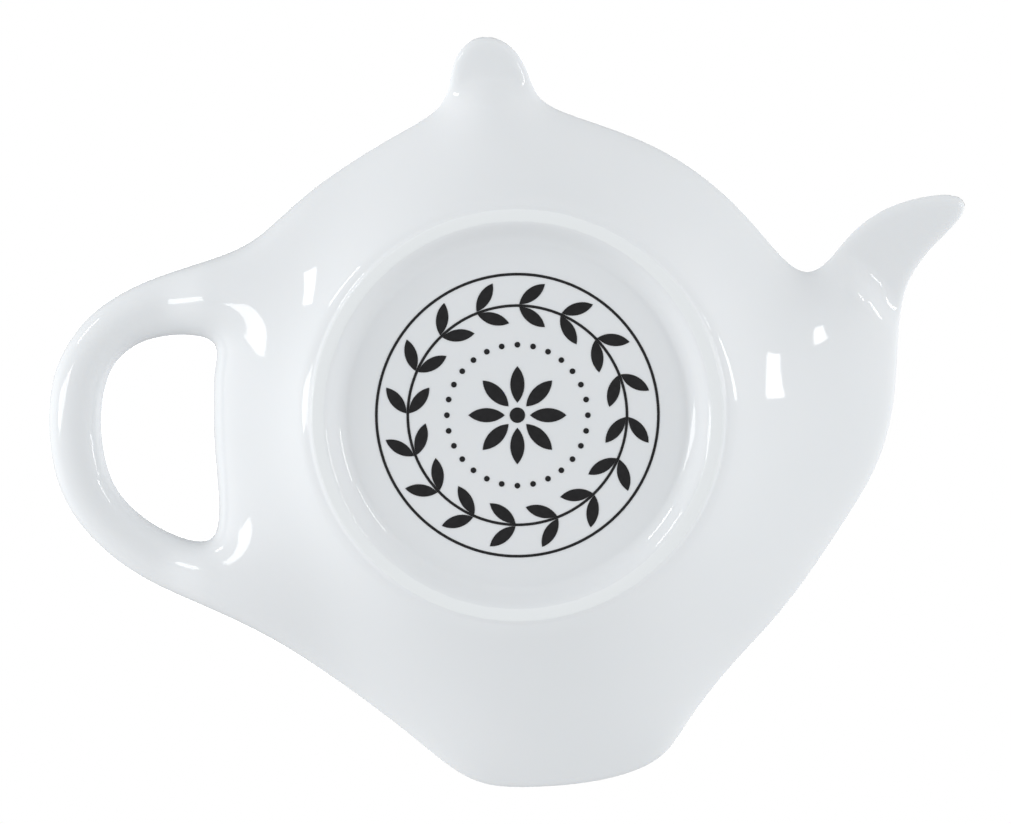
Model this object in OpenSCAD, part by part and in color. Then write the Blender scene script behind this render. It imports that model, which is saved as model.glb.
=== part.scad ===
// Tea bag rest: a shallow china dish with the outline of a teapot.
// It stands on its foot ring, with the well upwards, the knob towards +Y,
// the spout towards -X and the handle towards +X. Millimetres.

/* [Dish] */
// Foot centre to the rim on the spout side
spout_side = 57.4; // [52:0.2:64]
// Foot centre to the rim at the finger hole
handle_side = 45.2; // [42:0.2:50]
// Foot centre to the rim under the knob
knob_side = 45.6; // [42:0.2:50]
// Foot centre to the straight edge of the base
base_side = 56; // [50:0.2:62]
// Table to the middle of the rim
rim_mid_h = 15; // [12:0.2:20]
// How far the rim swells above its middle
rim_rise = 1.6; // [1:0.1:2.4]
// How far the rim swells below its middle
rim_drop = 1; // [0.8:0.1:2.4]
// Distance from the edge over which the rim rounds off
rim_roll = 2.2; // [1.6:0.1:3.4]
// Height of the narrow land left along the very edge
rim_land = 0.5; // [0.2:0.1:1]
// Radius of the flat floor of the well
floor_r = 33.2; // [30:0.2:34.6]
// Thickness of the floor
floor_t = 3; // [2:0.1:5]

/* [Foot ring] */
// Table to the underside of the floor
foot_h = 2.4; // [1.5:0.1:4]
// Table to the lower underside just outside the ring
step_h = 0.4; // [0.3:0.1:1.4]
// Outer radius of the ring where it joins the dish
foot_r = 31.2; // [28:0.1:32.4]
// Width of the ring where it joins the dish
foot_w = 6.4; // [5:0.1:9]
// Flat left round the ring before the wall starts to climb
foot_land = 0.3; // [0.2:0.1:2]
// Ring's outer edge in to the middle of the flat crest that the dish stands on
foot_crest_in = 1.8; // [1:0.1:3]
// Width of the flat crest
foot_crest_w = 1.1; // [0.6:0.1:1.6]

/* [Handle] */
// Dish rim to the far side of the finger hole
hole_reach = 17.3; // [12:0.1:24]
// Height of the finger hole
hole_h = 31; // [26:0.2:34]
// Width of the handle's band
handle_band = 8; // [6:0.1:11]
// How far the handle swells below its middle
handle_drop = 4.2; // [2.4:0.1:6]
// Distance from its edge over which its underside rounds off
handle_roll = 3.8; // [2:0.1:4.8]
// Distance within the dish over which its underside deepens towards the handle
handle_fade = 24; // [12:0.5:28]

/* [Spout] */
// Root of the spout to its tip
spout_reach = 22.6; // [18:0.1:28]
// Width of the spout at its root
spout_w = 16.6; // [13:0.1:20]
// Direction of the spout above the horizontal
spout_angle = 46; // [36:1:56]

/* [Knob] */
// Root of the knob to its top
knob_h = 11.4; // [8:0.1:15]
// Width of the knob's stem
knob_w = 13.1; // [10:0.1:17]
// How far the knob swells below its middle
knob_drop = 1.6; // [1:0.1:3]
// Distance from its edge over which its underside rounds off
knob_roll = 1.4; // [1:0.1:3]
// Distance beyond the dish over which a limb takes on its own section
limb_fade = 6; // [3:0.5:9]

/* [Base ornament] */
// Foot ring's inner edge in to the outer line of the printed ornament
print_margin = 3.8; // [1:0.1:6]
// Width of its ring lines
print_line_w = 0.4; // [0.2:0.05:0.6]
// Thickness of the fired print
print_t = 0.06; // [0.04:0.01:0.2]
// Angle between a leaf of the wreath and its stem
leaf_angle = 38; // [30:1:45]
// Number of leaf pairs round the wreath
leaf_pairs = 16; // [8:1:16]
// Number of beads inside the wreath
beads = 28; // [12:1:36]
// Number of petals of the rosette in the middle
petals = 8; // [5:1:8]

/* [Hidden] */
$fn = 64;

// Outline of the dish, as shares of the four sides measured from the foot centre.
// x is a share of handle_side (plus) or spout_side (minus), y of knob_side or base_side.
shoulder_shares = [[-0.176, 0.977], [-0.294, 0.924], [-0.404, 0.858], [-0.504, 0.772],
    [-0.59, 0.673], [-0.659, 0.574], [-0.711, 0.505], [-0.758, 0.472]];
belly_shares = [[-1, 0.231], [-0.992, 0.083], [-0.971, -0.054], [-0.924, -0.175],
    [-0.85, -0.298], [-0.766, -0.427], [-0.677, -0.546], [-0.585, -0.648],
    [-0.507, -0.742], [-0.451, -0.82], [-0.402, -0.894], [-0.339, -0.943],
    [-0.241, -0.977], [-0.134, -0.994], [-0.024, -1], [0.103, -0.993],
    [0.217, -0.949], [0.343, -0.868], [0.49, -0.777], [0.667, -0.677], [0.847, -0.589]];
neck_shares = [[0.863, 0.591], [0.73, 0.71], [0.58, 0.818], [0.423, 0.914], [0.317, 0.974]];

// Knob, from its handle side over the top: shares of half knob_w and of knob_h,
// from a root that is itself a share along the dish.
knob_root_share = [0.077, 1];
knob_shares = [[1.264, 0.08], [1.057, 0.316], [0.989, 0.539], [0.851, 0.763], [0.575, 0.934],
    [0.184, 1], [-0.23, 0.934], [-0.552, 0.776], [-0.782, 0.539], [-0.943, 0.303],
    [-1.264, 0.092]];

// Spout, from the notch round its tip: shares of spout_reach along it and of half spout_w across it.
spout_root_share = [-0.8845, 0.376];
spout_shares = [[0.04, 0.86], [0.2, 0.88], [0.383, 0.88], [0.6, 0.744], [0.813, 0.425],
    [0.967, 0.045], [0.97, -0.25], [0.827, -0.347], [0.62, -0.338], [0.407, -0.416],
    [0.213, -0.653]];

// Handle, from its lower root to its upper one: shares of the reach and of half the height
// that the finger hole and the band round it take together.
handle_shares = [[0.095, -1.07], [0.44, -0.897], [0.7, -0.686], [0.887, -0.436],
    [0.976, -0.16], [1, 0.115], [0.976, 0.385], [0.88, 0.62], [0.72, 0.82], [0.5, 0.97],
    [0.24, 1.08], [-0.036, 1.18]];
// Finger hole, from its upper corner at the dish: shares of hole_reach and of half hole_h.
hole_shares = [[0.01, 0.9], [0.22, 0.99], [0.48, 0.98], [0.72, 0.89], [0.9, 0.69],
    [0.98, 0.42], [1, 0.13], [0.97, -0.17], [0.89, -0.44], [0.73, -0.67], [0.53, -0.84],
    [0.27, -0.97], [0.05, -0.97], [-0.01, -0.75], [0, -0.41], [0.03, -0.02], [0.035, 0.37],
    [0.03, 0.66]];
// Middle of the finger hole, as a share of base_side below the foot centre
hole_mid_share = -0.062;

// Section of the foot ring, from its inner edge at the dish and to its outer one:
// shares of the fall beside the crest and of foot_h or step_h
foot_inner_shares = [[0, 1], [0.14, 0.975], [0.3, 0.87], [0.46, 0.68], [0.62, 0.42],
    [0.76, 0.19], [0.88, 0.05], [1, 0]];
foot_outer_shares = [[0, 0], [0.14, 0.04], [0.3, 0.2], [0.44, 0.46], [0.58, 0.72], [0.76, 0.91],
    [1, 1]];

// Sizes within the printed ornament, as shares of its outer radius: the wreath's stem and
// leaves, the row of beads, the rosette's petals and eye, and the bare space between them
stem_r_share = 0.77;
leaf_shares = [0.229, 0.086];
bead_row_r_share = 0.495;
bead_r_share = 0.02;
petal_shares = [0.257, 0.1];
eye_r_share = 0.071;
print_gap_share = 0.0167;

// The dish's seat round the ring, as a share of foot_r that leaves it a hair's room
seat_share = 1.002;

// Where the rings of points run: across the wall, then within the roll of the rim
wall_ring_shares = [0, 0.15, 0.29, 0.43, 0.58, 0.77, 1];
roll_ring_shares = [0.55, 0.22, 0.05, 0];
// Where the points of a cross-line lie between two edges
cross_shares = [0, 0.025, 0.09, 0.2, 0.35, 0.5, 0.65, 0.8, 0.91, 0.975, 1];
// Steps along each outline between two marks, and lines along each limb
outline_steps = 2;
handle_lines = 34;
spout_lines = 11;
knob_lines = 9;
// Smallest squared distance that a sum of pulls divides by
tiny_sq = pow(rim_roll, 2) / 1e6;

floor_top = foot_h + floor_t;
under_wall_r = foot_r + foot_land;
foot_inner_r = foot_r - foot_w;
print_r = foot_inner_r - print_margin;
print_gap = print_r * print_gap_share;

// Places on the dish
function on_dish(s) = [
    s.x * (s.x < 0 ? spout_side : handle_side),
    s.y * (s.y < 0 ? base_side : knob_side)
];
knob_root = on_dish(knob_root_share);
spout_root = on_dish(spout_root_share);
along_spout = [-cos(spout_angle), sin(spout_angle)];
across_spout = [sin(spout_angle), cos(spout_angle)];
hole_root = on_dish([1, hole_mid_share]);
handle_reach = hole_reach + handle_band;
handle_half_h = hole_h / 2 + handle_band;

knob_marks = [for (s = knob_shares) knob_root + [s.x * knob_w / 2, s.y * knob_h]];
shoulder_marks = [for (s = shoulder_shares) on_dish(s)];
spout_marks = [for (s = spout_shares)
    spout_root + s.x * spout_reach * along_spout + s.y * spout_w / 2 * across_spout];
belly_marks = [for (s = belly_shares) on_dish(s)];
handle_marks = [for (s = handle_shares)
    hole_root + [s.x * handle_reach, s.y * handle_half_h]];
neck_marks = [for (s = neck_shares) on_dish(s)];
hole_marks = [for (s = hole_shares) hole_root + [s.x * hole_reach, s.y * hole_h / 2]];
outer_marks = concat(knob_marks, shoulder_marks, spout_marks, belly_marks,
    handle_marks, neck_marks);

// Where each limb starts and ends, counted in marks along the outline
knob_start = 0;
knob_end = len(knob_marks) - 1;
notch = knob_end + len(shoulder_marks);
spout_end = notch + len(spout_marks) + 1;
handle_start = spout_end + len(belly_marks);
handle_end = handle_start + len(handle_marks) - 1;
hole_upper = 0;
hole_lower = 12;

// A smooth closed curve that runs through marks, read at a place counted in marks
function wrap(list, i) = list[(i % len(list) + len(list)) % len(list)];
function pulled_out(marks) = [for (i = [0:len(marks) - 1])
    marks[i] - (wrap(marks, i - 1) - 2 * marks[i] + wrap(marks, i + 1)) / 6];
function blend(a, b, c, d, t) = (pow(1 - t, 3) * a + (3 * pow(t, 3) - 6 * t * t + 4) * b
    + (1 + 3 * t + 3 * t * t - 3 * pow(t, 3)) * c + pow(t, 3) * d) / 6;
function curve_at(knots, place) = let (i = floor(place)) blend(wrap(knots, i - 1),
    wrap(knots, i), wrap(knots, i + 1), wrap(knots, i + 2), place - i);
function curve_run(knots, from, to, steps) =
    [for (k = [0:steps]) curve_at(knots, from + (to - from) * k / steps)];

outer_knots = pulled_out(outer_marks);
hole_knots = pulled_out(hole_marks);
outer_edge = curve_run(outer_knots, 0, len(outer_marks), outline_steps * len(outer_marks));
hole_edge = curve_run(hole_knots, 0, len(hole_marks), outline_steps * len(hole_marks));

// The outline's box is centred on the part's origin
edge_x = [for (p = outer_edge) p.x];
edge_y = [for (p = outer_edge) p.y];
foot_centre = -[max(edge_x) + min(edge_x), max(edge_y) + min(edge_y)] / 2;

// Distance from the rim, softened so that it has no crease half way between two edges
function sides(loop) = [for (i = [1:len(loop) - 1])
    [loop[i - 1], loop[i], (loop[i] - loop[i - 1]) / norm(loop[i] - loop[i - 1])]];
rim_sides = concat(sides(outer_edge), sides(hole_edge));
one_each = [for (s = rim_sides) 1];
function pull(p, side) = let (
    v = p - side[0],
    w = p - side[1],
    a = v * side[2],
    b = w * side[2]
) (a / norm(v) - b / norm(w)) / max(v * v - a * a, tiny_sq);
function rim_distance(p) = sqrt(2 / ([for (s = rim_sides) pull(p, s)] * one_each));

// Height of the dish's two faces at a place in plan, from its distance d to the rim. The
// dish's walls climb evenly, and the limbs level out. The underside is deeper towards the
// handle.
function rounded(d, roll) = let (u = 1 - min(1, d / roll)) sqrt(1 - u * u);
function s_curve(t) = let (u = max(0, min(1, t))) pow(u, 3) * (10 - 15 * u + 6 * u * u);
function between(a, b, t) = a + (b - a) * t;
function on_handle(p) = s_curve((p.x - handle_side) / limb_fade);
function on_knob(p) = s_curve((p.y - knob_side) / limb_fade);
function on_spout(p) = s_curve((p - spout_root) * along_spout / limb_fade);
function climb(p, d, start_r) = let (
    run = max(0, norm(p) - start_r),
    t = run + d == 0 ? 1 : run / (run + d)
) between(t, s_curve(t), max(on_handle(p), on_knob(p), on_spout(p)));
function top_z(p, d) = rim_mid_h + between(rim_land / 2, rim_rise, rounded(d, rim_roll))
    - (rim_mid_h + rim_rise - floor_top) * (1 - climb(p, d, floor_r));
function under_z(p, d) = let (
    deepened = s_curve(1 + (p.x - handle_side) / handle_fade),
    drop = rim_drop + (handle_drop - rim_drop) * deepened
        + (knob_drop - rim_drop) * on_knob(p),
    roll = rim_roll + (handle_roll - rim_roll) * on_handle(p)
        + (knob_roll - rim_roll) * on_knob(p)
) rim_mid_h - between(rim_land / 2, drop, rounded(d, roll))
    - (rim_mid_h - drop - step_h) * (1 - climb(p, d, under_wall_r));

// A line of points straight across from one edge to another
function cross_line(a, b) = [for (s = cross_shares) between(a, b, s)];
function inner_only(line) = [for (i = [1:len(line) - 2]) line[i]];

// The dish's own border: free rim, and the straight roots of the knob, spout and handle.
// Each entry is a place and whether it lies on the rim.
function rim_run(knots, from, to) = [for (p = curve_run(knots, from, to,
    outline_steps * (to - from))) [p, true]];
function root_run(a, b) = [for (p = inner_only(cross_line(a, b))) [p, false]];
knob_left = curve_at(outer_knots, knob_start);
knob_right = curve_at(outer_knots, knob_end);
spout_upper = curve_at(outer_knots, notch);
spout_lower = curve_at(outer_knots, spout_end);
handle_low = curve_at(outer_knots, handle_start);
handle_high = curve_at(outer_knots, handle_end);
hole_low = curve_at(hole_knots, hole_lower);
hole_high = curve_at(hole_knots, hole_upper);
border = concat(
    rim_run(outer_knots, knob_end, notch),
    root_run(spout_upper, spout_lower),
    rim_run(outer_knots, spout_end, handle_start),
    root_run(handle_low, hole_low),
    rim_run(hole_knots, hole_lower, len(hole_marks)),
    root_run(hole_high, handle_high),
    rim_run(outer_knots, handle_end, len(outer_marks)),
    root_run(knob_left, knob_right)
);

// Two triangles for each four-sided patch between two loops of the same count
function band_faces(first, second, count) = [for (i = [0:count - 1])
    let (j = (i + 1) % count)
    each [[first + i, first + j, second + i], [first + j, second + j, second + i]]];

// Rings in plan that lead from a circle round the foot centre out to the border:
// the wall's rings first, then those within the roll of the rim
function ring_place(p, start_r, wall_share, roll_share) = let (
    start = start_r * p / norm(p),
    out = p / norm(p),
    wall = norm(p - start) - rim_roll
) start + out * (wall * wall_share + rim_roll * (1 - roll_share));
function plan_rings(start_r) = concat(
    [for (s = wall_ring_shares) [for (e = border) ring_place(e[0], start_r, s, 1)]],
    [for (s = roll_ring_shares) [for (e = border) ring_place(e[0], start_r, 1, s)]]);
function ring_depths(rings) = [for (k = [0:len(rings) - 1]) [for (i = [0:len(border) - 1])
    k == len(rings) - 1 && border[i][1] ? 0 : rim_distance(rings[k][i])]];

// The dish: rings of points from the middle of the well out over the rim,
// back underneath to the step round the foot ring, and up it to the middle
module dish_body() {
    top_plan = plan_rings(floor_r);
    under_plan = plan_rings(under_wall_r);
    top_depths = ring_depths(top_plan);
    under_depths = ring_depths(under_plan);
    rings = len(top_plan);
    count = len(border);
    seat = [for (e = border) foot_r * seat_share * e[0] / norm(e[0])];
    points = concat(
        [[0, 0, floor_top]],
        [for (k = [0:rings - 1]) for (i = [0:count - 1])
            concat(top_plan[k][i], top_z(top_plan[k][i], top_depths[k][i]))],
        [for (k = [rings - 1:-1:0]) for (i = [0:count - 1])
            concat(under_plan[k][i], under_z(under_plan[k][i], under_depths[k][i]))],
        [for (h = [step_h, foot_h]) for (p = seat) concat(p, h)],
        [[0, 0, foot_h]]
    );
    last = len(points) - 1;
    faces = concat(
        [for (i = [0:count - 1]) [0, 1 + (i + 1) % count, 1 + i]],
        [for (k = [0:2 * rings])
            each band_faces(1 + k * count, 1 + (k + 1) * count, count)],
        [for (i = [0:count - 1]) [last, last - count + i, last - count + (i + 1) % count]]
    );
    color("whitesmoke") translate(foot_centre) polyhedron(points, faces);
}

// The face that closes a limb, in strips between its top and bottom points
function end_faces(at, loop, turned) = [for (j = [0:loop / 2 - 2]) let (
    a = at + j,
    b = at + j + 1,
    c = at + loop - 2 - j,
    d = at + loop - 1 - j
) each turned ? [[a, b, c], [a, c, d]] : [[a, c, b], [a, d, c]]];

// A limb between two edge lines. Each cross-line becomes a closed section, top points
// first. A limb with a tip has its last section on the rim.
module limb(first_edge, second_edge, has_tip) {
    count = len(cross_shares);
    lines = len(first_edge);
    loop = 2 * count;
    function on_rim(i, j) = j == 0 || j == count - 1 || (has_tip && i == lines - 1);
    points = [for (i = [0:lines - 1]) let (
        line = cross_line(first_edge[i], second_edge[i]),
        depth = [for (j = [0:count - 1]) on_rim(i, j) ? 0 : rim_distance(line[j])]
    ) each concat(
        [for (j = [0:count - 1]) concat(line[j], top_z(line[j], depth[j]))],
        [for (j = [count - 1:-1:0]) concat(line[j], under_z(line[j], depth[j]))]
    )];
    faces = concat(
        end_faces(0, loop, false),
        [for (i = [0:lines - 2]) each band_faces(i * loop, (i + 1) * loop, loop)],
        end_faces((lines - 1) * loop, loop, true)
    );
    color("whitesmoke") translate(foot_centre) polyhedron(points, faces);
}

module handle() {
    limb(curve_run(hole_knots, hole_upper, hole_lower, handle_lines),
        curve_run(outer_knots, handle_end, handle_start, handle_lines), false);
}

// A limb whose two edges leave the dish at two marks and meet half way between them
module tipped_limb(from, to, lines) {
    step = (to - from) / (2 * lines + 1);
    limb([for (k = [0:lines]) curve_at(outer_knots, from + k * step)],
        [for (k = [0:lines]) curve_at(outer_knots, to - k * step)], true);
}

module spout() {
    tipped_limb(notch, spout_end, spout_lines);
}

module knob() {
    tipped_limb(knob_start, knob_end, knob_lines);
}

// The ring that the dish stands on, with its flat unglazed crest
module foot_ring() {
    crest_out = foot_r - foot_crest_in + foot_crest_w / 2;
    crest_in = crest_out - foot_crest_w;
    color("gainsboro") translate(foot_centre) rotate_extrude() polygon(concat(
        [for (s = foot_inner_shares)
            [between(foot_inner_r, crest_in, s.x), foot_h * s.y]],
        [for (s = foot_outer_shares)
            [between(crest_out, foot_r, s.x), step_h * s.y]],
        [[foot_r, foot_h]]
    ));
}

// A generic black ornament fired onto the underside, inside the foot ring
module base_print() {
    color("black") translate(concat(foot_centre, foot_h - print_t)) linear_extrude(print_t) {
        print_ring(print_r);
        print_ring(print_r * stem_r_share + print_line_w / 2);
        round_the_middle(leaf_pairs, print_r * stem_r_share) {
            rotate(90 - leaf_angle) leaf(print_r * leaf_shares);
            rotate(90 + leaf_angle) leaf(print_r * leaf_shares);
        }
        round_the_middle(beads, print_r * bead_row_r_share) circle(print_r * bead_r_share);
        round_the_middle(petals, print_r * eye_r_share) leaf(print_r * petal_shares);
        circle(print_r * eye_r_share - print_gap);
    }
}

module round_the_middle(copies, r) {
    for (i = [0:copies - 1]) rotate(i * 360 / copies) translate([r, 0]) children();
}

module print_ring(r) {
    difference() {
        circle(r);
        circle(r - print_line_w);
    }
}

// A pointed leaf where two circles cross, its near tip a gap away from its root
module leaf(size) {
    bow_r = (size * size) / (4 * size.y);
    translate([print_gap + size.x / 2, 0]) intersection() {
        translate([0, bow_r - size.y / 2]) circle(bow_r);
        translate([0, size.y / 2 - bow_r]) circle(bow_r);
    }
}

dish_body();
foot_ring();
handle();
spout();
knob();
base_print();
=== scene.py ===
import math

import bmesh
import bpy
import numpy as np
from mathutils import Euler, Matrix, Vector


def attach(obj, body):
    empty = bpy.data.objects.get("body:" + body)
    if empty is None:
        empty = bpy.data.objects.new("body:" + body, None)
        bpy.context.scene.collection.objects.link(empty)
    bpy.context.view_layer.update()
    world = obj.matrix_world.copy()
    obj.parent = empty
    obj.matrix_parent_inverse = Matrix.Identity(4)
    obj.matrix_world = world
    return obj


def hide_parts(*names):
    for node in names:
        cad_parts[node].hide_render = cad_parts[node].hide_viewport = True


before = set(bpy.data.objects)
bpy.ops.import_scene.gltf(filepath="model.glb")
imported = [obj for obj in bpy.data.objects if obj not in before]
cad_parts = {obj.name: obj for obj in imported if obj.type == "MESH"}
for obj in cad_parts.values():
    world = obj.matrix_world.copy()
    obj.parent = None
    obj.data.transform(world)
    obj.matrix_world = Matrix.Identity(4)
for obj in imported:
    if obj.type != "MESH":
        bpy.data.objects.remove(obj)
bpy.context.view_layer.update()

# Tea bag rest in bone china, seen from underneath.
# Sizes are in millimetres, as in the part's source, and become metres on the way into a mesh.

MM = 0.001

# Dish
SPOUT_SIDE = 57.4
HANDLE_SIDE = 45.2
KNOB_SIDE = 45.6
BASE_SIDE = 56
RIM_MID_H = 15
RIM_RISE = 1.6
RIM_DROP = 1
RIM_ROLL = 2.2
FLOOR_R = 33.2
FLOOR_T = 3
# How far the wall's start is eased into the flat beside it
WALL_START_EASE = 0.8

# Foot ring
FOOT_H = 2.4
STEP_H = 0.4
FOOT_R = 31.2
FOOT_W = 6.4
FOOT_LAND = 0.3
FOOT_CREST_IN = 1.8
FOOT_CREST_W = 1.1

# Handle, spout and knob
HOLE_REACH = 17.3
HOLE_H = 31
HANDLE_BAND = 8
HANDLE_DROP = 4.2
HANDLE_ROLL = 3.8
HANDLE_FADE = 24
SPOUT_REACH = 22.6
SPOUT_W = 16.6
SPOUT_ANGLE = math.radians(46)
KNOB_H = 11.4
KNOB_W = 13.1
KNOB_DROP = 1.6
KNOB_ROLL = 1.4
LIMB_FADE = 6
# The glazed skin passes onto the handle more slowly than the solid under it does
HANDLE_FLOW = 10

# Outline, as shares of the four sides measured from the foot centre
SHOULDER_SHARES = [
    (-0.176, 0.977), (-0.294, 0.924), (-0.404, 0.858), (-0.504, 0.772),
    (-0.59, 0.673), (-0.659, 0.574), (-0.711, 0.505), (-0.758, 0.472),
]
BELLY_SHARES = [
    (-1, 0.231), (-0.992, 0.083), (-0.971, -0.054), (-0.924, -0.175), (-0.85, -0.298),
    (-0.766, -0.427), (-0.677, -0.546), (-0.585, -0.648), (-0.507, -0.742), (-0.451, -0.82),
    (-0.402, -0.894), (-0.339, -0.943), (-0.241, -0.977), (-0.134, -0.994), (-0.024, -1),
    (0.103, -0.993), (0.217, -0.949), (0.343, -0.868), (0.49, -0.777), (0.667, -0.677),
    (0.847, -0.589),
]
NECK_SHARES = [(0.863, 0.591), (0.73, 0.71), (0.58, 0.818), (0.423, 0.914), (0.317, 0.974)]
KNOB_ROOT_SHARE = (0.077, 1)
KNOB_SHARES = [
    (1.264, 0.08), (1.057, 0.316), (0.989, 0.539), (0.851, 0.763), (0.575, 0.934), (0.184, 1),
    (-0.23, 0.934), (-0.552, 0.776), (-0.782, 0.539), (-0.943, 0.303), (-1.264, 0.092),
]
SPOUT_ROOT_SHARE = (-0.8845, 0.376)
SPOUT_SHARES = [
    (0.04, 0.86), (0.2, 0.88), (0.383, 0.88), (0.6, 0.744), (0.813, 0.425), (0.967, 0.045),
    (0.97, -0.25), (0.827, -0.347), (0.62, -0.338), (0.407, -0.416), (0.213, -0.653),
]
HANDLE_SHARES = [
    (0.095, -1.07), (0.44, -0.897), (0.7, -0.686), (0.887, -0.436), (0.976, -0.16), (1, 0.115),
    (0.976, 0.385), (0.88, 0.62), (0.72, 0.82), (0.5, 0.97), (0.24, 1.08), (-0.036, 1.18),
]
HOLE_SHARES = [
    (0.01, 0.9), (0.22, 0.99), (0.48, 0.98), (0.72, 0.89), (0.9, 0.69), (0.98, 0.42),
    (1, 0.13), (0.97, -0.17), (0.89, -0.44), (0.73, -0.67), (0.53, -0.84), (0.27, -0.97),
    (0.05, -0.97), (-0.01, -0.75), (0, -0.41), (0.03, -0.02), (0.035, 0.37), (0.03, 0.66),
]
HOLE_MID_SHARE = -0.062
FOOT_INNER_SHARES = [
    (0, 1), (0.14, 0.975), (0.3, 0.87), (0.46, 0.68), (0.62, 0.42), (0.76, 0.19), (0.88, 0.05),
    (1, 0),
]
FOOT_OUTER_SHARES = [
    (0, 0), (0.14, 0.04), (0.3, 0.2), (0.44, 0.46), (0.58, 0.72), (0.76, 0.91), (1, 1),
]

# The room's brightness by the height of a direction, from -1 straight below to 1 straight
# above, the two ends first, and how much its two sides and its front add
ROOM_SHADES = [
    (-1, 0.11), (1, 0.32), (-0.9, 0.38), (-0.75, 0.57), (-0.42, 0.46), (0, 0.55), (0.37, 0.39),
    (0.6, 0.33),
]
ROOM_SIDES = 1.15
ROOM_FRONT = 0.08

# How finely the glazed skin is laid out: along the rim in millimetres, and in rows across
# the wall, over the roll of the rim, across the flat parts, between two marks of the foot
# ring's section, and across the limbs
RIM_STEP = 0.75
WALL_ROWS = 30
ROLL_ROWS = 12
FLAT_ROWS = 9
FOOT_ROWS = 3
CROSS_ROWS = 32
# How much closer the rows along the spout and the knob lie than the points along the rim
TIP_FINENESS = 2
# Places read along a smooth curve to measure its length
CURVE_PLACES = 1200
# Points of the skin closer than this are one, and an edge shorter than the second goes
SAME_POINT = 0.002
NO_EDGE = 0.0005


# The outline


def on_dish(share):
    """A place in plan from its share of the dish's four sides."""
    x, y = share
    return np.array([
        x * (SPOUT_SIDE if x < 0 else HANDLE_SIDE),
        y * (BASE_SIDE if y < 0 else KNOB_SIDE),
    ])


def laid_out(shares, root, along, across):
    """Marks of a limb from its root, as shares of its length and its width."""
    return [root + x * along + y * across for x, y in shares]


class SmoothLoop:
    """A smooth closed curve through marks, read at a place counted in marks."""

    def __init__(self, marks):
        marks = np.array(marks)
        self.count = len(marks)
        self.knots = marks - (np.roll(marks, 1, 0) - 2 * marks + np.roll(marks, -1, 0)) / 6

    def at(self, places):
        i = np.floor(places).astype(int)
        t = (np.asarray(places) - i)[:, None]
        a, b, c, d = (self.knots[(i + k) % self.count] for k in (-1, 0, 1, 2))
        return (
            (1 - t) ** 3 * a + (3 * t**3 - 6 * t**2 + 4) * b
            + (1 + 3 * t + 3 * t**2 - 3 * t**3) * c + t**3 * d
        ) / 6

    def run(self, start, end, steps):
        """Points at even distances along the curve from one place to another."""
        places = np.linspace(start, end, CURVE_PLACES)
        gone = np.linalg.norm(np.diff(self.at(places), axis=0), axis=1).cumsum()
        gone = np.concatenate([[0], gone])
        return self.at(np.interp(np.linspace(0, gone[-1], steps + 1), gone, places))

    def length(self, start, end):
        points = self.at(np.linspace(start, end, CURVE_PLACES))
        return np.linalg.norm(np.diff(points, axis=0), axis=1).sum()


hole_root = on_dish((1, HOLE_MID_SHARE))
spout_root = on_dish(SPOUT_ROOT_SHARE)
knob_marks = laid_out(
    KNOB_SHARES, on_dish(KNOB_ROOT_SHARE), np.array([KNOB_W / 2, 0]), np.array([0, KNOB_H])
)
shoulder_marks = [on_dish(s) for s in SHOULDER_SHARES]
spout_marks = laid_out(
    SPOUT_SHARES,
    spout_root,
    SPOUT_REACH * np.array([-math.cos(SPOUT_ANGLE), math.sin(SPOUT_ANGLE)]),
    SPOUT_W / 2 * np.array([math.sin(SPOUT_ANGLE), math.cos(SPOUT_ANGLE)]),
)
belly_marks = [on_dish(s) for s in BELLY_SHARES]
handle_marks = laid_out(
    HANDLE_SHARES,
    hole_root,
    np.array([HOLE_REACH + HANDLE_BAND, 0]),
    np.array([0, HOLE_H / 2 + HANDLE_BAND]),
)
hole_marks = laid_out(HOLE_SHARES, hole_root, np.array([HOLE_REACH, 0]), np.array([0, HOLE_H / 2]))
neck_marks = [on_dish(s) for s in NECK_SHARES]

outline = SmoothLoop(
    knob_marks + shoulder_marks + spout_marks + belly_marks + handle_marks + neck_marks
)
hole = SmoothLoop(hole_marks)

# Where each limb leaves the outline, counted in marks
KNOB_START = 0
KNOB_END = len(knob_marks) - 1
NOTCH = KNOB_END + len(shoulder_marks)
SPOUT_END = NOTCH + len(spout_marks) + 1
HANDLE_START = SPOUT_END + len(belly_marks)
HANDLE_END = HANDLE_START + len(handle_marks) - 1
HOLE_UPPER = 0
HOLE_LOWER = 12

# The outline's box is centred on the part's origin
whole_edge = outline.at(np.arange(0, outline.count, 0.5))
foot_centre = -(whole_edge.max(0) + whole_edge.min(0)) / 2


def rim_steps(loop, start, end):
    return round(loop.length(start, end) / RIM_STEP)


def rim_run(loop, start, end):
    return loop.run(start, end, rim_steps(loop, start, end))


# The section of the china

rim_sides = []
for loop in (outline, hole):
    edge = loop.run(0, loop.count, rim_steps(loop, 0, loop.count))
    rim_sides += list(zip(edge[:-1], edge[1:]))
side_start = np.array([a for a, b in rim_sides])
side_end = np.array([b for a, b in rim_sides])
side_way = side_end - side_start
side_way /= np.linalg.norm(side_way, axis=1)[:, None]


def rim_distance(points):
    """Distance of places in plan from the rim, without a crease between two edges."""
    touching, no_way, on_the_rim = 1e-9, 1e-7, 1e12
    pulls = np.zeros(len(points))
    for start, end, way in zip(side_start, side_end, side_way):
        v, w = points - start, points - end
        a, b = v @ way, w @ way
        far_v, far_w = np.hypot(*v.T), np.hypot(*w.T)
        with np.errstate(divide="ignore", invalid="ignore"):
            pull = (a / far_v - b / far_w) / np.maximum(far_v**2 - a**2, no_way)
        pulls += np.where((far_v < touching) | (far_w < touching), on_the_rim, pull)
    return np.sqrt(2 / pulls)


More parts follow.
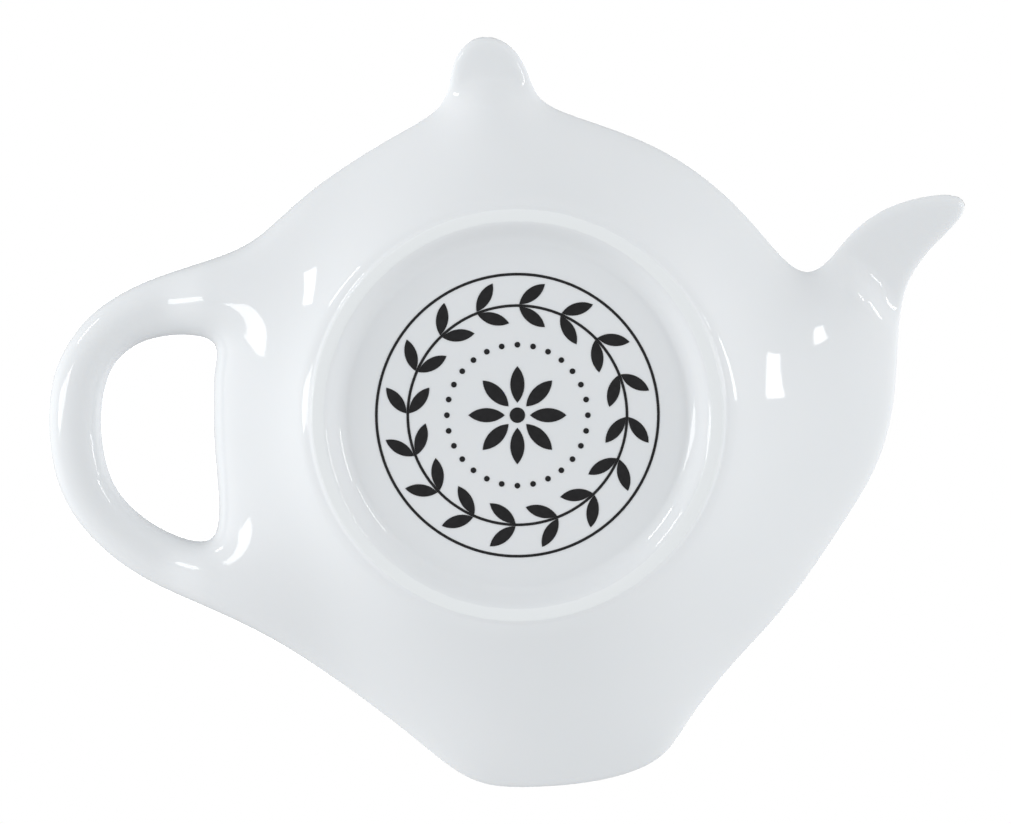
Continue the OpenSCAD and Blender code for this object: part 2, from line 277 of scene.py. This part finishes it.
def rounded(distance, roll):
    """How far an edge has rounded off at a distance from the rim."""
    return np.sqrt(1 - np.exp(-2 * distance / roll))


def s_curve(t):
    """Eases from 0 to 1, with no kink in slope or bend at its ends."""
    u = np.clip(t, 0, 1)
    return u**3 * (10 - 15 * u + 6 * u * u)


def on_limbs(points):
    """How far places have passed from the dish onto the handle, the knob and the spout."""
    x, y = points.T
    along_spout = (points - spout_root) @ [-math.cos(SPOUT_ANGLE), math.sin(SPOUT_ANGLE)]
    return [
        s_curve((x - HANDLE_SIDE) / HANDLE_FLOW),
        s_curve((y - KNOB_SIDE) / LIMB_FADE),
        s_curve(along_spout / LIMB_FADE),
    ]


def climb(points, distance, start_r):
    """How far a wall has climbed: evenly within the dish, and levelling out on the limbs."""
    beyond = np.hypot(*points.T) - start_r
    run = (beyond + np.hypot(beyond, WALL_START_EASE)) / 2
    share = run / (run + distance)
    return share + (s_curve(share) - share) * np.max(on_limbs(points), axis=0)


def upper_face(points, distance):
    """The well's floor, its walls and the swell of the rim."""
    swell = RIM_RISE * rounded(distance, RIM_ROLL)
    fall = RIM_MID_H + RIM_RISE - FOOT_H - FLOOR_T
    return RIM_MID_H + swell - fall * (1 - climb(points, distance, FLOOR_R))


def lower_face(points, distance):
    """The underside, which is deeper towards the handle and thinner over the knob."""
    on_handle, on_knob, on_spout = on_limbs(points)
    deepened = s_curve(1 + (points[:, 0] - HANDLE_SIDE) / HANDLE_FADE)
    drop = RIM_DROP + (HANDLE_DROP - RIM_DROP) * deepened + (KNOB_DROP - RIM_DROP) * on_knob
    roll = RIM_ROLL + (HANDLE_ROLL - RIM_ROLL) * on_handle + (KNOB_ROLL - RIM_ROLL) * on_knob
    fall = RIM_MID_H - drop - STEP_H
    return (
        RIM_MID_H
        - drop * rounded(distance, roll)
        - fall * (1 - climb(points, distance, FOOT_R + FOOT_LAND))
    )


# Rows of places in plan


def cross_line(a, b):
    """Points across a limb from one edge to the other, close together at the edges."""
    share = (1 - np.cos(np.linspace(0, math.pi, CROSS_ROWS + 1))) / 2
    return a + (b - a) * share[:, None]


knob_left, knob_right = outline.at([KNOB_START, KNOB_END])
spout_upper, spout_lower = outline.at([NOTCH, SPOUT_END])
handle_low, handle_high = outline.at([HANDLE_START, HANDLE_END])
hole_high, hole_low = hole.at([HOLE_UPPER, HOLE_LOWER])

# The dish's own border: stretches of free rim, each followed by the root of a limb
border_pieces = [
    rim_run(outline, KNOB_END, NOTCH),
    cross_line(spout_upper, spout_lower),
    rim_run(outline, SPOUT_END, HANDLE_START),
    cross_line(handle_low, hole_low),
    rim_run(hole, HOLE_LOWER, hole.count),
    cross_line(hole_high, handle_high),
    rim_run(outline, HANDLE_END, outline.count),
    cross_line(knob_left, knob_right),
]
border = np.vstack([piece[:-1] for piece in border_pieces])
border = np.vstack([border, border[:1]])
border_on_rim = np.concatenate([
    np.arange(len(piece) - 1) < (1 if number % 2 else len(piece))
    for number, piece in enumerate(border_pieces)
])
border_on_rim = np.append(border_on_rim, True)
outward = border / np.hypot(*border.T)[:, None]


def circle_row(r):
    return outward * r


def wall_rows(start_r):
    """Rows in plan from a circle round the foot centre out to the border."""
    rows = []
    start = circle_row(start_r)
    end = border - outward * RIM_ROLL
    for share in np.linspace(0, 1, WALL_ROWS, endpoint=False):
        rows.append(start + (end - start) * share)
    for turn in np.linspace(math.pi / 2, 0, ROLL_ROWS + 1):
        rows.append(border - outward * RIM_ROLL * (1 - math.cos(turn)))
    return rows


def smooth_section(marks, steps):
    """A smooth open line through marks, its ends held."""
    marks = [np.array(m, float) for m in marks]
    held = [2 * marks[0] - marks[1], *marks, 2 * marks[-1] - marks[-2]]
    line = []
    for a, b, c, d in zip(held, held[1:], held[2:], held[3:]):
        for t in np.arange(steps) / steps:
            line.append(
                ((2 * b) + (c - a) * t + (2 * a - 5 * b + 4 * c - d) * t**2
                 + (3 * b - a - 3 * c + d) * t**3) / 2
            )
    return np.array([*line, marks[-1]])


# The foot ring's section, from its inner edge over the crest to its outer edge
crest_out = FOOT_R - FOOT_CREST_IN + FOOT_CREST_W / 2
crest_in = crest_out - FOOT_CREST_W
foot_inner_r = FOOT_R - FOOT_W
foot_marks = [
    *[(foot_inner_r + (crest_in - foot_inner_r) * x, y) for x, y in FOOT_INNER_SHARES],
    *[(crest_out + (FOOT_R - crest_out) * x, y) for x, y in FOOT_OUTER_SHARES],
]
foot_section = smooth_section(foot_marks, FOOT_ROWS)
foot_section[:, 1] = np.clip(foot_section[:, 1], 0, 1)


def underside(points, distance):
    """The lower face with the foot ring on it and the recess inside the ring."""
    r = np.hypot(*points.T)
    clear_of_crest = np.interp(r, foot_section[:, 0], foot_section[:, 1])
    return clear_of_crest * np.where(r < crest_in, FOOT_H, lower_face(points, distance))


# The glazed skin


def lay_sheet(bm, places):
    """Lays a grid of points, given in rows, on their places."""
    rows, columns = places.shape[:2]
    made = bmesh.ops.create_grid(bm, x_segments=columns - 1, y_segments=rows - 1, size=1)
    for vert in made["verts"]:
        column = round((vert.co.x + 1) / 2 * (columns - 1))
        row = round((vert.co.y + 1) / 2 * (rows - 1))
        vert.co = places[row, column]


def raised(rows, face, on_rim):
    """Gives rows of places in plan their height on a face of the china."""
    plan = np.array(rows)
    flat = plan.reshape(-1, 2)
    distance = rim_distance(flat)
    distance[np.array(on_rim).ravel()] = 0
    height = face(flat, distance)
    placed = np.column_stack([flat + foot_centre, height]) * MM
    return placed.reshape(*plan.shape[:2], 3)


def dish_sheet(bm, face, start_r, inner_rows):
    rows = [*inner_rows, *wall_rows(start_r)]
    plan = np.array(rows)
    on_rim = np.zeros(plan.shape[:2], bool)
    on_rim[-1] = border_on_rim
    lay_sheet(bm, raised(rows, face, on_rim))


def limb_sheets(bm, first_edge, second_edge, has_tip):
    rows = [cross_line(a, b) for a, b in zip(first_edge, second_edge)]
    on_rim = np.zeros((len(rows), CROSS_ROWS + 1), bool)
    on_rim[:, [0, -1]] = True
    if has_tip:
        on_rim[-1] = True
    for face in (upper_face, lower_face):
        lay_sheet(bm, raised(rows, face, on_rim))


def tipped_limb(bm, start, end):
    """A limb whose two edges leave the dish at two marks and meet half way between them."""
    tip = (start + end) / 2
    steps = TIP_FINENESS * max(rim_steps(outline, start, tip), rim_steps(outline, tip, end))
    half_tip = (end - start) / (4 * steps)
    limb_sheets(
        bm,
        outline.run(start, tip - half_tip, steps),
        outline.run(end, tip + half_tip, steps),
        True,
    )


skin = bmesh.new()
well_rows = [circle_row(FLOOR_R * s) for s in np.linspace(0, 1, FLAT_ROWS, endpoint=False)]
dish_sheet(skin, upper_face, FLOOR_R, well_rows)

recess = [foot_inner_r * s for s in np.linspace(0, 1, FLAT_ROWS, endpoint=False)]
recess_rows = [circle_row(r) for r in recess + list(foot_section[:-1, 0])]
dish_sheet(skin, underside, FOOT_R, recess_rows)

handle_steps = rim_steps(outline, HANDLE_START, HANDLE_END)
limb_sheets(
    skin,
    hole.run(HOLE_UPPER, HOLE_LOWER, handle_steps),
    outline.run(HANDLE_END, HANDLE_START, handle_steps),
    False,
)
tipped_limb(skin, NOTCH, SPOUT_END)
tipped_limb(skin, KNOB_START, KNOB_END)

bmesh.ops.remove_doubles(skin, verts=skin.verts, dist=SAME_POINT * MM)
bmesh.ops.dissolve_degenerate(skin, edges=skin.edges, dist=NO_EDGE * MM)
bmesh.ops.recalc_face_normals(skin, faces=skin.faces)
for face in skin.faces:
    face.smooth = True
skin_mesh = bpy.data.meshes.new("glazed_dish")
skin.to_mesh(skin_mesh)
skin.free()
glazed_dish = bpy.data.objects.new("glazed_dish", skin_mesh)
bpy.context.collection.objects.link(glazed_dish)
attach(glazed_dish, "root")
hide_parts("dish_body", "foot_ring", "handle", "spout", "knob")


# Materials

# Patterns, in spans to a metre: the glaze's waves are about 14 mm long and its orange peel
# 1.6 mm, the body's clouds 30 mm, the wander of the glaze's edge 2.4 mm, and the grain of the
# biscuit 0.4 mm and of the print 0.7 mm
WAVE_SPANS = 70
PEEL_SPANS = 620
CLOUD_SPANS = 32
EDGE_SPANS = 420
BISCUIT_SPANS = 2600
PRINT_SPANS = 1500

# Depths of the bumps
WAVE_DEPTH = 0.06
PEEL_DEPTH = 0.0012
BISCUIT_DEPTH = 0.02

# Heights above the table between which the glaze ends, and how far its edge wanders
GLAZE_EDGE_LOW = 0.04
GLAZE_EDGE_HIGH = 0.1
GLAZE_EDGE_WANDER = 0.04

# Index of refraction of glaze, china and fired enamel
CHINA_IOR = 1.5

BODY_SHADE = "#E3E7EA"
BODY_LIGHT = "#E9ECEF"
BISCUIT = "#EAEEF0"
PRINT_SHADE = "#141415"
PRINT_LIGHT = "#2A2A2C"
PAPER = "#F4F4F4"


def linear(hex_colour):
    """An sRGB hex colour as linear red, green, blue and alpha."""
    parts = [int(hex_colour[i : i + 2], 16) / 255 for i in (1, 3, 5)]
    return (*[p / 12.92 if p <= 0.04045 else ((p + 0.055) / 1.055) ** 2.4 for p in parts], 1)


def add_node(tree, kind, settings=None, **links):
    """Adds a node, sets its properties and its sockets' values, and links its inputs."""
    node = tree.nodes.new(kind)
    for name, value in (settings or {}).items():
        if hasattr(node, name):
            setattr(node, name, value)
        else:
            node.inputs[name].default_value = value
    for name, source in links.items():
        tree.links.new(source, node.inputs[name.replace("_", " ")])
    return node


def new_material(name):
    material = bpy.data.materials.new(name)
    material.use_nodes = True
    material.node_tree.nodes.clear()
    return material, material.node_tree


def glazed_bone_china():
    """Slip-cast bone china under a clear lead-free glaze: a cool white body, a wet gloss that
    lies in slow waves, and a bare, matt biscuit where the foot's crest was wiped clean."""
    material, tree = new_material("glazed_bone_china")
    place = add_node(tree, "ShaderNodeTexCoord").outputs["Object"]
    waves = add_node(
        tree, "ShaderNodeTexNoise", {"Scale": WAVE_SPANS, "Detail": 1.5}, Vector=place
    )
    peel = add_node(tree, "ShaderNodeTexNoise", {"Scale": PEEL_SPANS, "Detail": 1}, Vector=place)
    wave_bump = add_node(
        tree, "ShaderNodeBump", {"Strength": 1, "Distance": WAVE_DEPTH * MM},
        Height=waves.outputs["Fac"],
    )
    peel_bump = add_node(
        tree, "ShaderNodeBump", {"Strength": 1, "Distance": PEEL_DEPTH * MM},
        Height=peel.outputs["Fac"], Normal=wave_bump.outputs["Normal"],
    )
    # Faint clouds in the body's colour
    clouds = add_node(
        tree, "ShaderNodeTexNoise", {"Scale": CLOUD_SPANS, "Detail": 2}, Vector=place
    )
    body = add_node(tree, "ShaderNodeMix", {"data_type": "RGBA"}, Factor=clouds.outputs["Fac"])
    body.inputs[6].default_value = linear(BODY_SHADE)
    body.inputs[7].default_value = linear(BODY_LIGHT)
    china = add_node(
        tree, "ShaderNodeBsdfPrincipled",
        {
            "Roughness": 0.05,
            "IOR": CHINA_IOR,
            "Subsurface Weight": 0.12,
            "Subsurface Scale": 0.0015,
            "Subsurface Radius": (1.0, 0.9, 0.8),
        },
        Base_Color=body.outputs[2],
        Normal=peel_bump.outputs["Normal"],
    )
    # Bare biscuit below the glaze's edge, which wanders along the foot's crest
    edge = add_node(tree, "ShaderNodeTexNoise", {"Scale": EDGE_SPANS, "Detail": 2}, Vector=place)
    wander = add_node(
        tree, "ShaderNodeMapRange",
        {"To Min": -GLAZE_EDGE_WANDER * MM, "To Max": GLAZE_EDGE_WANDER * MM},
        Value=edge.outputs["Fac"],
    )
    height = add_node(tree, "ShaderNodeSeparateXYZ", Vector=place).outputs["Z"]
    above = add_node(tree, "ShaderNodeMath", {"operation": "ADD"})
    tree.links.new(height, above.inputs[0])
    tree.links.new(wander.outputs[0], above.inputs[1])
    glazed = add_node(
        tree, "ShaderNodeMapRange",
        {"From Min": GLAZE_EDGE_LOW * MM, "From Max": GLAZE_EDGE_HIGH * MM},
        Value=above.outputs[0],
    )
    grain = add_node(
        tree, "ShaderNodeTexNoise", {"Scale": BISCUIT_SPANS, "Detail": 3}, Vector=place
    )
    grain_bump = add_node(
        tree, "ShaderNodeBump", {"Strength": 0.6, "Distance": BISCUIT_DEPTH * MM},
        Height=grain.outputs["Fac"],
    )
    biscuit = add_node(
        tree, "ShaderNodeBsdfPrincipled",
        {"Base Color": linear(BISCUIT), "Roughness": 0.7, "IOR": CHINA_IOR},
        Normal=grain_bump.outputs["Normal"],
    )
    surface = add_node(tree, "ShaderNodeMixShader")
    tree.links.new(glazed.outputs[0], surface.inputs[0])
    tree.links.new(biscuit.outputs[0], surface.inputs[1])
    tree.links.new(china.outputs[0], surface.inputs[2])
    add_node(tree, "ShaderNodeOutputMaterial", Surface=surface.outputs[0])
    return material


def black_fired_print():
    """Black ceramic decal, fired onto the glaze: a dense black with a satin gloss and a fine
    grain, as screen-printed enamel has."""
    material, tree = new_material("black_fired_print")
    place = add_node(tree, "ShaderNodeTexCoord").outputs["Object"]
    grain = add_node(tree, "ShaderNodeTexNoise", {"Scale": PRINT_SPANS, "Detail": 3}, Vector=place)
    black = add_node(tree, "ShaderNodeMix", {"data_type": "RGBA"}, Factor=grain.outputs["Fac"])
    black.inputs[6].default_value = linear(PRINT_SHADE)
    black.inputs[7].default_value = linear(PRINT_LIGHT)
    enamel = add_node(
        tree, "ShaderNodeBsdfPrincipled",
        {"Roughness": 0.28, "IOR": CHINA_IOR},
        Base_Color=black.outputs[2],
    )
    add_node(tree, "ShaderNodeOutputMaterial", Surface=enamel.outputs["BSDF"])
    return material


glazed_dish.data.materials.append(glazed_bone_china())
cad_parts["base_print"].material_slots[0].material = black_fired_print()


# Studio

# The floor's half width in metres, and where its paper fades out round the rest, so that the
# white room shows beyond it
FLOOR_HALF = 3
PAPER_FADE_START = 0.12
PAPER_FADE_END = 0.45
# The floor lies a hair under the foot, in millimetres
FLOOR_GAP = 0.05

# Windows that the glaze mirrors: azimuth as seen in the main picture, anticlockwise from its
# right, polar angle from straight below, both in degrees, width and height in metres,
# radiance, and tilt in degrees
WINDOWS = {
    "window_right": (13.2, 62.1, (0.44, 0.135), 8, 0),
    "window_right_upper": (32.5, 46.7, (0.35, 0.115), 8, 0),
    "window_left": (174, 50, (0.32, 0.8), 5, 20),
    "window_left_upper": (142.9, 73.3, (0.355, 0.17), 8, 0),
    "softbox_overhead": (0, 178, (1.2, 1.2), 2.4, 0),
}
# How far away the windows stand, in metres
WINDOW_FAR = 1.6

# The camera: its film's width, the picture's width, the size of a pixel at the rim, how far
# it stands from the rim, and how far it is off the middle
FILM_W = 36
PICTURE_PX = 1011
PIXEL = 0.15066
CAMERA_FAR = 600
CAMERA_SHIFT = 0.2


def add_floor():
    """Pale paper that takes the rest's shadow and is clear when it is seen from below."""
    mesh = bpy.data.meshes.new("pale_floor")
    bm = bmesh.new()
    bmesh.ops.create_grid(bm, x_segments=1, y_segments=1, size=FLOOR_HALF)
    bm.to_mesh(mesh)
    bm.free()
    floor = bpy.data.objects.new("pale_floor", mesh)
    floor.location.z = -FLOOR_GAP * MM
    bpy.context.collection.objects.link(floor)
    floor.visible_diffuse = False
    floor.visible_glossy = False
    floor.visible_transmission = False
    floor.visible_shadow = False
    material, tree = new_material("pale_paper")
    place = add_node(tree, "ShaderNodeTexCoord").outputs["Object"]
    far = add_node(tree, "ShaderNodeVectorMath", {"operation": "LENGTH"}, Vector=place)
    fade = add_node(
        tree, "ShaderNodeMapRange", {"From Min": PAPER_FADE_START, "From Max": PAPER_FADE_END},
        Value=far.outputs["Value"],
    )
    under = add_node(tree, "ShaderNodeNewGeometry").outputs["Backfacing"]
    clear = add_node(tree, "ShaderNodeMath", {"operation": "MAXIMUM"})
    tree.links.new(fade.outputs[0], clear.inputs[0])
    tree.links.new(under, clear.inputs[1])
    pale = add_node(tree, "ShaderNodeBsdfDiffuse", {"Color": linear(PAPER)})
    none = add_node(tree, "ShaderNodeBsdfTransparent")
    mix = add_node(tree, "ShaderNodeMixShader")
    tree.links.new(clear.outputs[0], mix.inputs[0])
    tree.links.new(pale.outputs[0], mix.inputs[1])
    tree.links.new(none.outputs[0], mix.inputs[2])
    add_node(tree, "ShaderNodeOutputMaterial", Surface=mix.outputs[0])
    mesh.materials.append(material)


def add_window(name, azimuth, polar, size, radiance, tilt):
    """A bright rectangle that the glaze mirrors, turned to face the rest."""
    a, p = math.radians(azimuth), math.radians(polar)
    way = Vector((-math.cos(a) * math.sin(p), math.sin(a) * math.sin(p), -math.cos(p)))
    lamp = bpy.data.lights.new(name, "AREA")
    lamp.shape = "RECTANGLE"
    lamp.size, lamp.size_y = size
    lamp.energy = radiance * math.pi * size[0] * size[1]
    lamp_object = bpy.data.objects.new(name, lamp)
    turn = way.to_track_quat("Z", "Y").to_matrix().to_4x4()
    lamp_object.matrix_world = (
        Matrix.Translation(way * WINDOW_FAR) @ turn @ Matrix.Rotation(math.radians(tilt), 4, "Z")
    )
    lamp_object.visible_camera = False
    bpy.context.collection.objects.link(lamp_object)


def add_world():
    """White behind the object for the camera, and for everything else a soft pale room, dark
    where the camera stands and brightest at its two sides, with some light from its front."""
    world = bpy.data.worlds.new("soft_room")
    bpy.context.scene.world = world
    world.use_nodes = True
    tree = world.node_tree
    tree.nodes.clear()
    way = add_node(tree, "ShaderNodeTexCoord").outputs["Generated"]
    parts = add_node(tree, "ShaderNodeSeparateXYZ", Vector=way)
    ramp = add_node(tree, "ShaderNodeValToRGB", Fac=add_node(
        tree, "ShaderNodeMapRange", {"From Min": -1, "From Max": 1}, Value=parts.outputs["Z"]
    ).outputs[0])
    shades = ramp.color_ramp
    shades.interpolation = "EASE"
    for number, (height, shade) in enumerate(ROOM_SHADES):
        place = (height + 1) / 2
        stop = shades.elements[number] if number < 2 else shades.elements.new(place)
        stop.position = place
        stop.color = (shade, shade, shade, 1)
    side = add_node(tree, "ShaderNodeMath", {"operation": "MULTIPLY"})
    tree.links.new(parts.outputs["X"], side.inputs[0])
    tree.links.new(parts.outputs["X"], side.inputs[1])
    front = add_node(tree, "ShaderNodeMapRange", {
        "From Min": 0, "From Max": -1, "To Max": ROOM_FRONT,
    }, Value=parts.outputs["Y"])
    with_front = add_node(tree, "ShaderNodeMath", {"operation": "ADD"})
    tree.links.new(ramp.outputs["Color"], with_front.inputs[0])
    tree.links.new(front.outputs[0], with_front.inputs[1])
    level = add_node(tree, "ShaderNodeMath", {"operation": "MULTIPLY_ADD"})
    tree.links.new(side.outputs[0], level.inputs[0])
    level.inputs[1].default_value = ROOM_SIDES
    tree.links.new(with_front.outputs[0], level.inputs[2])
    room = add_node(
        tree, "ShaderNodeBackground", {"Color": (1, 1, 1, 1)}, Strength=level.outputs[0]
    )
    white = add_node(tree, "ShaderNodeBackground", {"Color": (1, 1, 1, 1), "Strength": 1.0})
    seen = add_node(tree, "ShaderNodeLightPath").outputs["Is Camera Ray"]
    mix = add_node(tree, "ShaderNodeMixShader")
    tree.links.new(seen, mix.inputs[0])
    tree.links.new(room.outputs[0], mix.inputs[1])
    tree.links.new(white.outputs[0], mix.inputs[2])
    add_node(tree, "ShaderNodeOutputWorld", Surface=mix.outputs[0])


def add_camera():
    """Straight below the rest, and turned as the picture is."""
    data = bpy.data.cameras.new("camera")
    data.sensor_width = FILM_W
    data.lens = FILM_W * CAMERA_FAR / (PICTURE_PX * PIXEL)
    data.clip_start, data.clip_end = 0.01, 20
    camera = bpy.data.objects.new("camera", data)
    camera.location = (CAMERA_SHIFT * MM, 0, (RIM_MID_H - CAMERA_FAR) * MM)
    camera.rotation_euler = Euler((0, math.pi, 0))
    bpy.context.collection.objects.link(camera)
    bpy.context.scene.camera = camera


add_floor()
add_world()
for window, setting in WINDOWS.items():
    add_window(window, *setting)
add_camera()
bpy.context.scene.view_settings.view_transform = "Standard"
